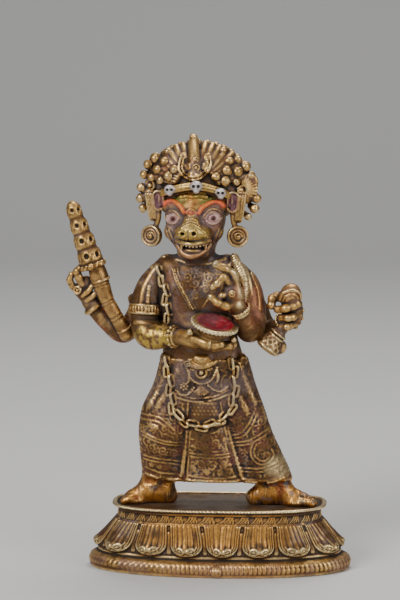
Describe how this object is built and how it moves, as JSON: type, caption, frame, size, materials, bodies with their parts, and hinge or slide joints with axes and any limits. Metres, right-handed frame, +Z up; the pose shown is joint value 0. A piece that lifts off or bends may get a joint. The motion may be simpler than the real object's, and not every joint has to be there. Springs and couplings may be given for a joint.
{
  "type": "mahakala figure",
  "caption": "Cast copper-alloy figure of a four-armed guardian with club, skull cup and mace, standing astride on an oval lotus plinth.",
  "frame": {"origin": "middle of the plinth's flat underside", "axes": "+Z up through the figure, +X to the viewer's right along the plinth's length, -Y towards the front"},
  "size_m": [0.1342, 0.0513, 0.2063],
  "materials": {
    "figure_bronze": "worn gilding on the high places over dark brown patina",
    "plinth_bronze": "dark brown patina with rubbed gilding"
  },
  "bodies": {
    "root": {"figure": "figure_bronze", "lotus_plinth": "plinth_bronze"}
  },
  "joints": []
}
